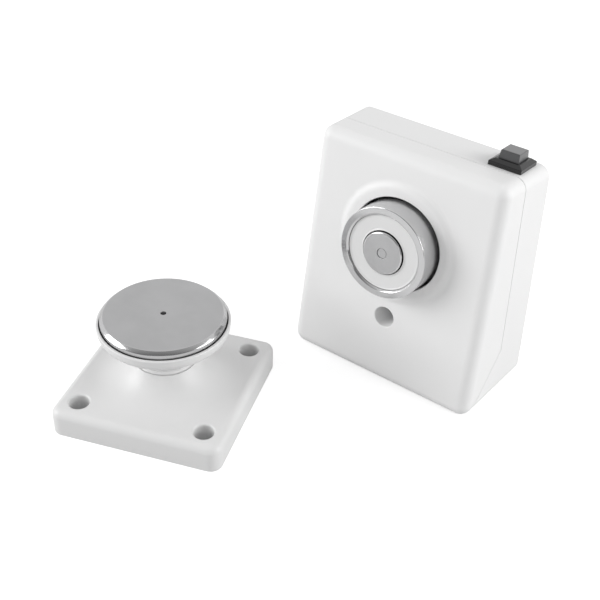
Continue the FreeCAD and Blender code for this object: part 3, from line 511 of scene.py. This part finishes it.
NODE_FINISHES: dict[Finish, tuple[str, ...]] = {
    WHITE_SATIN: ("front_cover", "rear_housing"),
    WHITE_GLOSS: ("keeper_base", "armature_cup", "swivel_ball"),
    BLACK_MOULDED: ("switch_frame",),
    CAP_MOULDED: ("switch_cap",),
    POTTING: ("potting_resin",),
    NYLON: ("coil_bobbin", "socket_liner", "socket_retainer"),
    TERMINAL_GREY: ("terminal_block",),
    RUBBER: ("cable_grommet", "cushion_ring"),
    RED_SHEATH: ("coil_leads",),
    BLUE_SHEATH: ("switch_leads",),
    DIODE_BLACK: ("suppression_diode",),
    DISC_FACE: ("armature_disc",),
    CORE_FACE: ("magnet_core", "pole_screw"),
    POT_SIDE: ("magnet_pot",),
    WINDING: ("coil_winding",),
    ZINC: (
        "magnet_bracket", "bracket_screws", "cover_screw", "board_screws",
        "terminal_screws", "retainer_screws", "armature_screw",
    ),
    SPRING: ("spring_washer", "switch_spring", "switch_clip"),
    BRASS: ("switch_contacts", "contact_bridge", "terminal_cages"),
    BOARD: ("circuit_board",),
}


def dress(piece: bpy.types.Object, finish: Finish) -> None:
    """Gives a whole piece one finish, through its material slots."""
    piece.data.materials.clear()
    piece.data.materials.append(finish.material())


def placed(name: str, data: bpy.types.ID) -> bpy.types.Object:
    """Puts a new object into the scene.

    Args:
        name: the object's name.
        data: the mesh, lamp or camera that it shows.

    Returns:
        The object.
    """
    thing = bpy.data.objects.new(name, data)
    bpy.context.scene.collection.objects.link(thing)
    return thing


def widest(corners: list[Vector]) -> float:
    """How far the outermost of some corners lies from the seat's axis."""
    return max(corner.xy.length for corner in corners)


def lowest(corners: list[Vector]) -> float:
    """Height of the lowest of some corners."""
    return min(corner.z for corner in corners)


def highest(corners: list[Vector]) -> float:
    """Height of the highest of some corners."""
    return max(corner.z for corner in corners)


class Shaper:
    """One piece while it is shaped in edit mode, in millimetres of its seat's frame."""

    def __init__(self, name: str, seat: Seat, middle: float) -> None:
        """Opens the object just added for edits.

        Args:
            name: the piece's name.
            seat: the frame that it is built in.
            middle: height of the object's own centre in that frame.
        """
        self.piece = bpy.context.object
        self.piece.name = name
        self.seat = seat
        self.middle = Vector((0.0, 0.0, middle))
        bpy.ops.object.mode_set(mode="EDIT")

    @classmethod
    def rod(
        cls, name: str, seat: Seat, finish: Finish,
        radius: float, low: float, high: float, sides: int = 192,
    ) -> "Shaper":
        """Starts from a round bar along the seat's axis.

        Args:
            name: the piece's name.
            seat: the frame that it is built in.
            finish: its first finish.
            radius: the bar's radius.
            low: where it starts along the axis.
            high: where it ends.
            sides: how many sides its round has.

        Returns:
            The open piece.
        """
        middle = (low + high) / 2.0
        bpy.ops.object.select_all(action="DESELECT")
        bpy.ops.mesh.primitive_cylinder_add(
            vertices=sides, radius=radius * MM, depth=(high - low) * MM,
            location=seat.at(0.0, 0.0, middle), rotation=seat.angles(),
        )
        shaper = cls(name, seat, middle)
        shaper.piece.data.materials.append(finish.material())
        return shaper

    def corners(self, item: bmesh.types.BMFace | bmesh.types.BMEdge) -> list[Vector]:
        """The corners of a face or edge in the seat's frame."""
        return [corner.co / MM + self.middle for corner in item.verts]

    def pick(self, kind: str, test: Test) -> None:
        """Selects what passes a test and nothing else.

        Args:
            kind: FACE or EDGE.
            test: takes the corners of a face or edge.
        """
        bpy.ops.mesh.select_mode(type=kind)
        bpy.ops.mesh.select_all(action="DESELECT")
        mesh = bmesh.from_edit_mesh(self.piece.data)
        for item in mesh.faces if kind == "FACE" else mesh.edges:
            if test(self.corners(item)):
                item.select_set(True)
        bmesh.update_edit_mesh(self.piece.data)

    def rim(self, radius: float, height: float) -> None:
        """Selects the edges of a round rim."""
        self.pick("EDGE", lambda ends: all(
            abs(p.xy.length - radius) < ROUND_TOUCH and abs(p.z - height) < TOUCH for p in ends
        ))

    def cap(self, *heights: float, within: float = math.inf) -> None:
        """Selects the flat faces at some heights whose corners all lie within a radius."""
        self.pick("FACE", lambda ends: highest(ends) - lowest(ends) < TOUCH and all(
            min(abs(p.z - height) for height in heights) < TOUCH and p.xy.length < within
            for p in ends
        ))

    def inset(self, width: float, rise: float = 0.0) -> None:
        """Insets the selected faces and moves them out along their normal."""
        bpy.ops.mesh.inset(thickness=width * MM, depth=rise * MM, use_even_offset=True)

    def extrude(self, step: float) -> None:
        """Extrudes the selected faces along the seat's axis."""
        move = {"value": self.seat.along(0.0, 0.0, step)}
        bpy.ops.mesh.extrude_region_move(TRANSFORM_OT_translate=move)

    def shift(self, step: float) -> None:
        """Moves what is selected along the seat's axis."""
        bpy.ops.transform.translate(value=self.seat.along(0.0, 0.0, step))

    def soften(self, width: float, *rims: tuple[float, float], segments: int = 2) -> None:
        """Bevels round rims one after another, to a round where there are segments.

        Args:
            width: the bevel's width.
            rims: the radius and the height of each.
            segments: how many faces lie across the bevel.
        """
        for radius, height in rims:
            self.rim(radius, height)
            bpy.ops.mesh.bevel(offset=width * MM, segments=segments, profile=0.5, affect="EDGES")

    def bore(
        self, radius: float, low: float, low_radius: float, high: float, high_radius: float,
    ) -> None:
        """Bores a hole from one flat face to another.

        Args:
            radius: the hole's radius.
            low: height of the lower face.
            low_radius: that face's radius.
            high: height of the upper face.
            high_radius: that face's radius.
        """
        self.cap(low, within=low_radius + MARGIN)
        self.inset(low_radius - radius)
        self.cap(high, within=high_radius + MARGIN)
        self.inset(high_radius - radius)
        self.cap(low, high, within=radius + MARGIN)
        bpy.ops.mesh.bridge_edge_loops()

    def coat(self, finish: Finish, test: Test) -> None:
        """Gives some faces another finish than the piece's first.

        Args:
            finish: that finish.
            test: takes the corners of a face.
        """
        self.piece.data.materials.append(finish.material())
        self.pick("FACE", test)
        self.piece.active_material_index = len(self.piece.data.materials) - 1
        bpy.ops.object.material_slot_assign()

    def close(self, angle: float = 24.0) -> bpy.types.Object:
        """Ends the edits: outward normals, flat level faces and the object at the origin.

        Args:
            angle: edges sharper than this stay sharp, in degrees.

        Returns:
            The piece.
        """
        bpy.ops.mesh.select_all(action="SELECT")
        bpy.ops.mesh.normals_make_consistent(inside=False)
        self.pick("FACE", lambda ends: highest(ends) - lowest(ends) < LEVEL)
        bpy.ops.object.mode_set(mode="OBJECT")
        bpy.ops.object.transform_apply(location=True, rotation=True, scale=True)
        bpy.ops.object.shade_smooth_by_angle(angle=math.radians(angle))
        for face in self.piece.data.polygons:
            face.use_smooth = not face.select
        return self.piece


def settle(piece: bpy.types.Object, body: str, slot: Slot, *nodes: str) -> None:
    """Says what a piece moves with and hides the solids that it stands for.

    Args:
        piece: the piece.
        body: the body that it rides on.
        slot: the record's slot; not used.
        nodes: the solids that it replaces.
    """
    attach(piece, body)
    if nodes:
        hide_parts(*nodes)
    LOG.info("%s: %d faces", piece.name, len(piece.data.polygons))


@dataclass(frozen=True)
class PotMagnet:
    """Turned pot, its centre pole and the resin between them. Sizes in mm along the pot's axis."""

    radius: float = 20.0
    bore: float = 16.6
    stand: float = 11.3
    back: float = -18.7
    floor: float = -13.7
    core: float = 9.3
    pole_bore: float = 2.3
    rim_round: float = 0.3
    bore_bevel: float = 0.7
    core_bevel: float = 0.35
    edge: float = 0.10
    core_gap: float = 0.50
    wall_gap: float = 0.16
    resin_top: float = 10.3
    resin_low: float = 8.35
    meniscus: float = 0.28
    meniscus_width: float = 0.7
    lead_drop: float = 13.0
    lead_radius: float = 1.9
    drill_length: float = 12.0
    drill_sides: int = 48

    def shell(self) -> None:
        """Turns the cup with a rounded outer rim and a bevelled, polished bore, its bore wall
        painted near black as painted shade.
        """
        cup = Shaper.rod("pot_shell", FRONT, POT_SIDE, self.radius, self.back, self.stand)
        cup.cap(self.stand)
        cup.inset(self.radius - self.bore)
        cup.extrude(self.floor - self.stand)
        cup.bore(self.pole_bore, self.back, self.radius, self.floor, self.bore)
        cup.soften(self.rim_round, (self.radius, self.stand), segments=4)
        cup.soften(self.bore_bevel, (self.bore, self.stand), segments=1)
        cup.soften(
            self.edge,
            (self.bore + self.bore_bevel, self.stand),
            (self.bore, self.stand - self.bore_bevel),
        )
        cup.soften(self.rim_round, (self.radius, self.back))
        polished = self.stand - self.bore_bevel - 2 * self.edge
        wall = self.bore + TOUCH
        above = self.floor + self.edge
        cup.coat(POT_RIM, lambda ends: lowest(ends) > polished)
        # The bore wall below the bevel is painted near black: painted shade in the gap beside the
        # resin.
        cup.coat(SHADE_PAINTED_STEEL, lambda ends: widest(ends) < wall and highest(ends) > above)
        piece = cup.close()
        self.drill(piece)
        settle(piece, "fixed_parts", Slot.POT, "magnet_pot")

    def drill(self, piece: bpy.types.Object) -> None:
        """Cuts the leads' hole through the cup's floor.

        Args:
            piece: the cup.
        """
        bpy.ops.object.select_all(action="DESELECT")
        bpy.ops.mesh.primitive_cylinder_add(
            vertices=self.drill_sides, radius=self.lead_radius * MM, depth=self.drill_length * MM,
            location=FRONT.at(0.0, -self.lead_drop, (self.floor + self.back) / 2.0),
            rotation=FRONT.angles(),
        )
        drill = bpy.context.object
        cut = piece.modifiers.new("lead_hole", "BOOLEAN")
        cut.operation = "DIFFERENCE"
        cut.object = drill
        bpy.context.view_layer.objects.active = piece
        bpy.ops.object.modifier_apply(modifier=cut.name)
        bpy.data.objects.remove(drill)

    def pole(self) -> None:
        """Turns the centre pole with a bright bevel and a softened bore for its screw; its side
        wall is painted near black as painted shade.
        """
        pole = Shaper.rod("centre_pole", FRONT, CORE_FACE, self.core, self.floor, self.stand)
        pole.bore(self.pole_bore, self.floor, self.core, self.stand, self.core)
        pole.soften(self.core_bevel, (self.core, self.stand), segments=1)
        pole.soften(
            self.edge,
            (self.core - self.core_bevel, self.stand),
            (self.core, self.stand - self.core_bevel),
            (self.pole_bore, self.stand),
        )
        flat = self.core - self.core_bevel - self.edge / 2
        top = self.stand - self.core_bevel - 2 * self.edge
        side = self.core - TOUCH
        pole.coat(CORE_RIM, lambda ends: lowest(ends) > top and widest(ends) > flat)
        # The pole's side wall is painted near black: painted shade in the gap beside the resin.
        pole.coat(SHADE_PAINTED_STEEL, lambda ends: min(p.xy.length for p in ends) > side)
        settle(pole.close(), "fixed_parts", Slot.CORE, "magnet_core")

    def resin(self) -> None:
        """Casts the resin ring, which creeps up at its edges and has shrunk clear of the steel."""
        inner = self.core + self.core_gap
        outer = self.bore - self.wall_gap
        flat = self.resin_top - self.meniscus
        ring = Shaper.rod("cast_resin", FRONT, POTTING, outer, self.resin_low, flat)
        ring.cap(flat)
        ring.inset(self.meniscus_width)
        ring.inset(outer - inner - 2 * self.meniscus_width)
        ring.bore(inner, self.resin_low, outer, flat, inner + self.meniscus_width)
        for radius in (inner, outer):
            ring.rim(radius, flat)
            ring.shift(self.meniscus)
        settle(ring.close(angle=50.0), "fixed_parts", Slot.RESIN, "potting_resin")

    def build(self) -> None:
        """Builds the three pieces."""
        self.shell()
        self.pole()
        self.resin()


@dataclass(frozen=True)
class Armature:
    """Steel plate of the keeper, with a stepped polished edge and a small eye. Sizes in mm."""

    radius: float = 26.4
    face_radius: float = 25.0
    low: float = 39.4
    face: float = 45.4
    bevel: float = 1.0
    step: float = 0.35
    eye: float = 1.2
    eye_depth: float = 2.2
    tap: float = 2.5
    tap_end: float = 0.4
    edge: float = 0.10
    sides: int = 256

    def build(self) -> None:
        """Turns the plate and polishes its edge."""
        shoulder = self.face - self.bevel - self.step
        plate = Shaper.rod(
            "armature_plate", KEEPER, DISC_FACE, self.radius, self.low, shoulder, self.sides,
        )
        plate.cap(shoulder)
        plate.inset(self.step, self.step)
        plate.inset(self.radius - self.step - self.face_radius, self.bevel)
        plate.inset(self.face_radius - self.eye)
        plate.extrude(-self.eye_depth)
        plate.cap(self.low)
        plate.inset(self.radius - self.tap)
        plate.extrude(self.face - self.eye_depth - self.low - self.tap_end)
        plate.soften(
            self.edge,
            (self.face_radius, self.face),
            (self.radius - self.step, self.face - self.bevel),
            (self.radius, shoulder),
            (self.eye, self.face),
        )
        flat = self.face_radius - self.edge / 2
        plate.coat(DISC_SIDE, lambda ends: widest(ends) > flat and highest(ends) > self.low)
        settle(plate.close(), "armature", Slot.ARMATURE, "armature_disc")


@dataclass(frozen=True)
class SoftenedPart:
    """Flat-sided moulding, its edges rounded as a mould leaves them. In mm and degrees."""

    name: str
    node: str
    body: str
    slot: Slot
    finish: Finish
    width: float
    segments: int = 3
    weld: float = 0.001
    flat_angle: float = 1.0
    corner_angle: float = 30.0
    sharp_angle: float = 32.0

    def build(self, nodes: Nodes) -> None:
        """Copies the solid, clears its flat faces of triangles and rounds its edges.

        Args:
            nodes: the frame's solids by name.
        """
        bpy.ops.object.select_all(action="DESELECT")
        piece = placed(self.name, nodes[self.node].data.copy())
        bpy.context.view_layer.objects.active = piece
        piece.select_set(True)
        bpy.ops.object.mode_set(mode="EDIT")
        bpy.ops.mesh.select_all(action="SELECT")
        bpy.ops.mesh.remove_doubles(threshold=self.weld * MM)
        bpy.ops.mesh.dissolve_limited(angle_limit=math.radians(self.flat_angle))
        bpy.ops.object.mode_set(mode="OBJECT")
        edges = piece.modifiers.new("soft_edges", "BEVEL")
        edges.width = self.width * MM
        edges.segments = self.segments
        edges.limit_method = "ANGLE"
        edges.angle_limit = math.radians(self.corner_angle)
        bpy.ops.object.modifier_apply(modifier=edges.name)
        bpy.ops.object.shade_smooth_by_angle(angle=math.radians(self.sharp_angle))
        for face in piece.data.polygons:
            face.use_smooth = face.area < WIDE_FACE
        dress(piece, self.finish)
        settle(piece, self.body, self.slot, self.node)


@dataclass(frozen=True)
class ReturnSpring:
    """Coil spring under the cap, with the cap's travel in mm."""

    travel: float = 2.0

    def build(self, nodes: Nodes) -> None:
        """Copies the coil and gives the copy a mesh of its own.

        Args:
            nodes: the frame's solids by name.
        """
        coil = placed("return_spring", nodes["switch_spring"].data.copy())
        dress(coil, SPRING)
        settle(coil, "fixed_parts", Slot.SPRING, "switch_spring")
        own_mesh(coil)


@dataclass(frozen=True)
class SolderJoints:
    """Solder where the leads meet the board. Sizes in mm, each slope by its width and rise."""

    places: tuple[tuple[float, float], ...] = (
        (-17.0, 33.0), (-13.0, 33.0), (-25.0, 32.0), (-21.0, 34.6),
    )
    radius: float = 1.25
    height: float = 1.1
    lead: float = 0.62
    foot: float = 0.02
    skirt: float = 0.14
    slopes: tuple[tuple[float, float], ...] = ((0.22, 0.14), (0.20, 0.30))
    sides: int = 32

    def shaped(self, name: str, x: float, z: float) -> bpy.types.Object:
        """Shapes one joint: a low skirt and slopes that steepen towards the lead.

        Args:
            name: the joint's name.
            x: where it stands across the board.
            z: its height above the floor.

        Returns:
            The joint.
        """
        width = self.radius - self.lead - sum(slope[0] for slope in self.slopes)
        rise = self.height - self.skirt - sum(slope[1] for slope in self.slopes)
        seat = Seat((x, BOARD_FACE.origin[1], FLOOR + z), BOARD_FACE.turn)
        joint = Shaper.rod(
            name, seat, SOLDER, self.radius, self.foot, self.skirt, self.sides,
        )
        joint.cap(self.skirt)
        for slope in (*self.slopes, (width, rise)):
            joint.inset(*slope)
        return joint.close(angle=70.0)

    def build(self) -> None:
        """Shapes the first pad's joint and copies it to the other pads."""
        x, z = self.places[0]
        first = self.shaped("solder_joint_0", x, z)
        settle(first, "fixed_parts", Slot.ZINC)
        for number, (across, up) in enumerate(self.places[1:], start=1):
            joint = placed(f"solder_joint_{number}", first.data.copy())
            joint.data.transform(Matrix.Translation(Vector((across - x, 0.0, up - z)) * MM))
            settle(joint, "fixed_parts", Slot.ZINC)


SOFTENED = (
    SoftenedPart("switch_body", "switch_frame", "fixed_parts", Slot.BLACK, BLACK_MOULDED, 0.2),
    SoftenedPart("switch_button", "switch_cap", "push_cap", Slot.CAP, CAP_MOULDED, 0.22),
)


@dataclass(frozen=True)
class Lamp:
    """Soft square lamp, in metres and watts."""

    name: str
    place: Triple
    watts: float
    side: float = 0.7

    def hang(self, aim: Vector) -> None:
        """Hangs the lamp so that it faces a point.

        Args:
            aim: that point.
        """
        data = bpy.data.lights.new(self.name, "AREA")
        data.size = self.side
        data.energy = self.watts
        lamp = placed(self.name, data)
        look = (aim - Vector(self.place)).to_track_quat("-Z", "Y").to_matrix().to_4x4()
        lamp.matrix_world = Matrix.Translation(self.place) @ look


@dataclass(frozen=True)
class Studio:
    """Plain pale studio with the photograph's camera. Angles in degrees, the rest in metres."""

    lens: float = 59.253
    sensor: float = 36.0
    clip: float = 0.01
    elevation: float = 36.256
    azimuth: float = 35.186
    roll: float = 2.289
    aim: tuple[float, float] = (-0.06224, -0.01818)
    reach: float = 0.49590
    floor_side: float = 8.0
    floor_colour: Colour = (0.60, 0.60, 0.60)
    floor_glow: float = 0.61
    floor_mirror: float = 0.25
    world_level: float = 0.60
    room_dark: float = 0.22
    dark_end: float = -0.65
    bright_end: float = 0.35
    lamps: tuple[Lamp, ...] = (
        Lamp("key_lamp", (-0.97, -0.83, 0.48), 10.2),
        Lamp("fill_lamp", (0.62, -1.10, 0.34), 1.1),
        Lamp("side_lamp", (1.10, 0.46, 0.50), 9.8),
    )

    def ahead(self) -> Triple:
        """Level direction that the camera looks in."""
        turn = math.radians(self.azimuth)
        return (-math.sin(turn), math.cos(turn), 0.0)

    def camera(self, floor: float) -> None:
        """Sets the camera that looks at a point of the floor.

        Args:
            floor: the floor's height.
        """
        tip = math.radians(self.elevation)
        x, y, _ = (part * math.cos(tip) for part in self.ahead())
        forward = Vector((x, y, -math.sin(tip)))
        data = bpy.data.cameras.new("photo_camera")
        data.lens = self.lens
        data.sensor_width = self.sensor
        data.clip_start = self.clip
        camera = placed("photo_camera", data)
        look = forward.to_track_quat("-Z", "Y").to_matrix().to_4x4()
        place = Vector((*self.aim, floor)) - forward * self.reach
        roll = Matrix.Rotation(math.radians(self.roll), 4, "Z")
        camera.matrix_world = Matrix.Translation(place) @ look @ roll
        bpy.context.scene.camera = camera

    def floor(self, height: float) -> None:
        """Lays a wide pale floor that shows as near white and keeps soft shadows.

        Args:
            height: the floor's height.
        """
        bpy.ops.object.select_all(action="DESELECT")
        bpy.ops.mesh.primitive_plane_add(size=self.floor_side, location=(0.0, 0.0, height))
        floor = bpy.context.object
        floor.name = "studio_floor"
        shader = Shader("studio_floor")
        shader.put(Base_Color=(*self.floor_colour, 1.0), Roughness=0.9, Specular_IOR_Level=0.0)
        path = shader.add("LightPath")
        mirrored = shader.add("Math", operation="MULTIPLY")
        mirrored.inputs[1].default_value = self.floor_mirror
        shader.link(path.outputs["Is Glossy Ray"], mirrored, 0)
        glow = shader.add("Math", operation="MULTIPLY_ADD")
        glow.inputs[1].default_value = self.floor_glow
        shader.link(path.outputs["Is Camera Ray"], glow, 0)
        shader.link(mirrored.outputs["Value"], glow, 2)
        shader.put(Emission_Color=WHITE_RGBA)
        shader.link(glow.outputs["Value"], shader.surface, "Emission Strength")
        floor.data.materials.append(shader.material)

    def world(self) -> None:
        """Lights the room evenly. Metal sees it bright behind the object and dark before it."""
        world = bpy.data.worlds.new("studio_world")
        world.use_nodes = True
        tree = world.node_tree
        path = tree.nodes.new("ShaderNodeLightPath")
        ahead = tree.nodes.new("ShaderNodeVectorMath")
        ahead.operation = "DOT_PRODUCT"
        ahead.inputs[1].default_value = self.ahead()
        place = tree.nodes.new("ShaderNodeTexCoord")
        tree.links.new(place.outputs["Generated"], ahead.inputs[0])
        room = tree.nodes.new("ShaderNodeMapRange")
        room.inputs["From Min"].default_value = self.dark_end
        room.inputs["From Max"].default_value = self.bright_end
        room.inputs["To Min"].default_value = self.room_dark
        tree.links.new(ahead.outputs["Value"], room.inputs["Value"])
        mirrored = tree.nodes.new("ShaderNodeMix")
        mirrored.inputs["A"].default_value = self.world_level
        tree.links.new(path.outputs["Is Glossy Ray"], mirrored.inputs["Factor"])
        tree.links.new(room.outputs["Result"], mirrored.inputs["B"])
        seen = tree.nodes.new("ShaderNodeMix")
        seen.inputs["B"].default_value = 1.0
        tree.links.new(path.outputs["Is Camera Ray"], seen.inputs["Factor"])
        tree.links.new(mirrored.outputs["Result"], seen.inputs["A"])
        back = tree.nodes["Background"]
        back.inputs["Color"].default_value = WHITE_RGBA
        tree.links.new(seen.outputs["Result"], back.inputs["Strength"])
        bpy.context.scene.world = world

    def build(self) -> None:
        """Builds the floor, the light and the camera."""
        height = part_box("keeper_base")[0].z
        self.floor(height)
        self.world()
        for lamp in self.lamps:
            lamp.hang(Vector((*self.aim, 0.0)))
        self.camera(height)
        bpy.context.scene.view_settings.view_transform = "Standard"


def dress_nodes(nodes: Nodes) -> None:
    """Gives every solid of the frame its finish.

    Args:
        nodes: the frame's solids by name.
    """
    for finish, names in NODE_FINISHES.items():
        for name in names:
            dress(nodes[name], finish)
            LOG.info("%s: %s", name, finish.name)


def main() -> None:
    """Builds the looks in order."""
    logging.basicConfig(level=logging.INFO, format="%(message)s")
    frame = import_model()
    nodes = frame["nodes"]
    dress_nodes(nodes)
    PotMagnet().build()
    Armature().build()
    SolderJoints().build()
    for part in SOFTENED:
        part.build(nodes)
    ReturnSpring().build(nodes)
    Studio().build()


if __name__ == "__main__":
    main()
